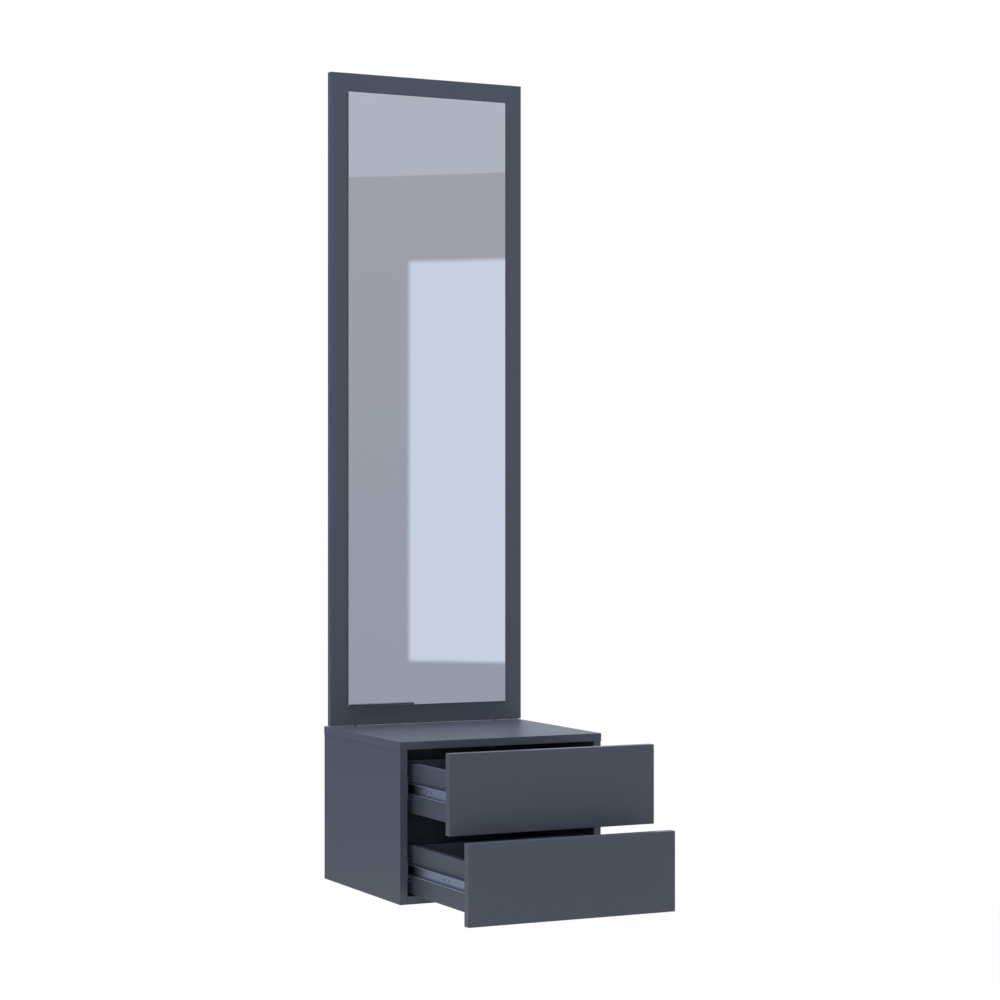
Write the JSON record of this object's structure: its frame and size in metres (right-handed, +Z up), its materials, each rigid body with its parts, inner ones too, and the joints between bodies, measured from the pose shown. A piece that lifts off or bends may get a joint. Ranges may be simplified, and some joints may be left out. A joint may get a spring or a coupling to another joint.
{
  "type": "wall cabinet with mirror",
  "caption": "Low wall-hung cabinet with sliding drawers on ball slides, under a tall upright panel faced with a mirror.",
  "frame": {"origin": "midway between the two wall screw holes of the cabinet, on the wall plane", "axes": "+X to the viewer's right when facing the mirror, +Y into the wall, +Z up"},
  "size_m": [0.4516, 0.712, 1.706],
  "materials": {
    "slate_board": "dark slate laminate on chipboard, satin, with banded edges",
    "drawer_base": "thin hardboard with a dark matt face",
    "plain_board": "raw board, out of sight behind the mirror",
    "mirror": "silvered float glass with ground edges",
    "foam_tape": "foam mounting tape",
    "slide_steel": "zinc plated rolled steel",
    "cage_steel": "thin zinc plated steel",
    "ball_steel": "polished bearing balls",
    "cast_zinc": "cast zinc cam fittings",
    "screw_steel": "zinc plated screws",
    "plate_steel": "zinc plated flat steel",
    "dowel_wood": "plain beech dowels"
  },
  "bodies": {
    "cabinet": {"cabinet_top": "slate_board", "cabinet_left_side": "slate_board", "cabinet_right_side": "slate_board", "cabinet_bottom": "slate_board", "cabinet_back": "slate_board", "hanging_rail": "slate_board", "carcass_cam_fittings": "cast_zinc", "carcass_dowels": "dowel_wood", "back_panel_screws": "screw_steel", "mirror_board": "slate_board", "mirror_glass": "mirror", "mirror_tape_strips": "foam_tape", "lower_batten": "plain_board", "middle_batten": "plain_board", "upper_batten": "plain_board", "batten_screws": "screw_steel", "hanger_plates": "plate_steel", "locating_pins": "plate_steel", "plate_screws": "screw_steel", "outer_rail_screws": "screw_steel", "upper_left_outer_rail": "slide_steel", "upper_right_outer_rail": "slide_steel", "lower_left_outer_rail": "slide_steel", "lower_right_outer_rail": "slide_steel"},
    "upper_drawer": {"upper_drawer_front": "slate_board", "upper_drawer_left_side": "slate_board", "upper_drawer_right_side": "slate_board", "upper_drawer_back": "slate_board", "upper_drawer_bottom": "drawer_base", "upper_drawer_cam_fittings": "cast_zinc", "upper_drawer_dowels": "dowel_wood", "upper_drawer_screws": "screw_steel", "upper_left_inner_rail": "slide_steel", "upper_right_inner_rail": "slide_steel", "upper_inner_rail_screws": "screw_steel"},
    "upper_middle_rails": {"upper_left_middle_rail": "slide_steel", "upper_right_middle_rail": "slide_steel"},
    "upper_outer_ball_cages": {"upper_outer_cages": "cage_steel", "upper_outer_balls": "ball_steel"},
    "upper_inner_ball_cages": {"upper_inner_cages": "cage_steel", "upper_inner_balls": "ball_steel"},
    "lower_drawer": {"lower_drawer_front": "slate_board", "lower_drawer_left_side": "slate_board", "lower_drawer_right_side": "slate_board", "lower_drawer_back": "slate_board", "lower_drawer_bottom": "drawer_base", "lower_drawer_cam_fittings": "cast_zinc", "lower_drawer_dowels": "dowel_wood", "lower_drawer_screws": "screw_steel", "lower_left_inner_rail": "slide_steel", "lower_right_inner_rail": "slide_steel", "lower_inner_rail_screws": "screw_steel"},
    "lower_middle_rails": {"lower_left_middle_rail": "slide_steel", "lower_right_middle_rail": "slide_steel"},
    "lower_outer_ball_cages": {"lower_outer_cages": "cage_steel", "lower_outer_balls": "ball_steel"},
    "lower_inner_ball_cages": {"lower_inner_cages": "cage_steel", "lower_inner_balls": "ball_steel"}
  },
  "joints": [
    {"name": "upper_middle_rails_slide", "type": "slide", "parent": "cabinet", "child": "upper_middle_rails", "axis": [0, -1, 0], "range_m": [0, 0.058]},
    {"name": "upper_drawer_slide", "type": "slide", "parent": "upper_middle_rails", "child": "upper_drawer", "axis": [0, -1, 0], "range_m": [-0.208, 0.084]},
    {"name": "upper_outer_ball_cages_slide", "type": "slide", "parent": "cabinet", "child": "upper_outer_ball_cages", "axis": [0, -1, 0], "range_m": [0, 0.029]},
    {"name": "upper_inner_ball_cages_slide", "type": "slide", "parent": "upper_middle_rails", "child": "upper_inner_ball_cages", "axis": [0, -1, 0], "range_m": [-0.104, 0.042]},
    {"name": "lower_middle_rails_slide", "type": "slide", "parent": "cabinet", "child": "lower_middle_rails", "axis": [0, -1, 0], "range_m": [0, 0.058]},
    {"name": "lower_drawer_slide", "type": "slide", "parent": "lower_middle_rails", "child": "lower_drawer", "axis": [0, -1, 0], "range_m": [-0.292, 0]},
    {"name": "lower_outer_ball_cages_slide", "type": "slide", "parent": "cabinet", "child": "lower_outer_ball_cages", "axis": [0, -1, 0], "range_m": [0, 0.029]},
    {"name": "lower_inner_ball_cages_slide", "type": "slide", "parent": "lower_middle_rails", "child": "lower_inner_ball_cages", "axis": [0, -1, 0], "range_m": [-0.146, 0]}
  ],
  "couplings": [
    {"joint": "upper_outer_ball_cages_slide", "follows": "upper_middle_rails_slide", "ratio": 0.5},
    {"joint": "upper_inner_ball_cages_slide", "follows": "upper_drawer_slide", "ratio": 0.5},
    {"joint": "lower_outer_ball_cages_slide", "follows": "lower_middle_rails_slide", "ratio": 0.5},
    {"joint": "lower_inner_ball_cages_slide", "follows": "lower_drawer_slide", "ratio": 0.5}
  ]
}
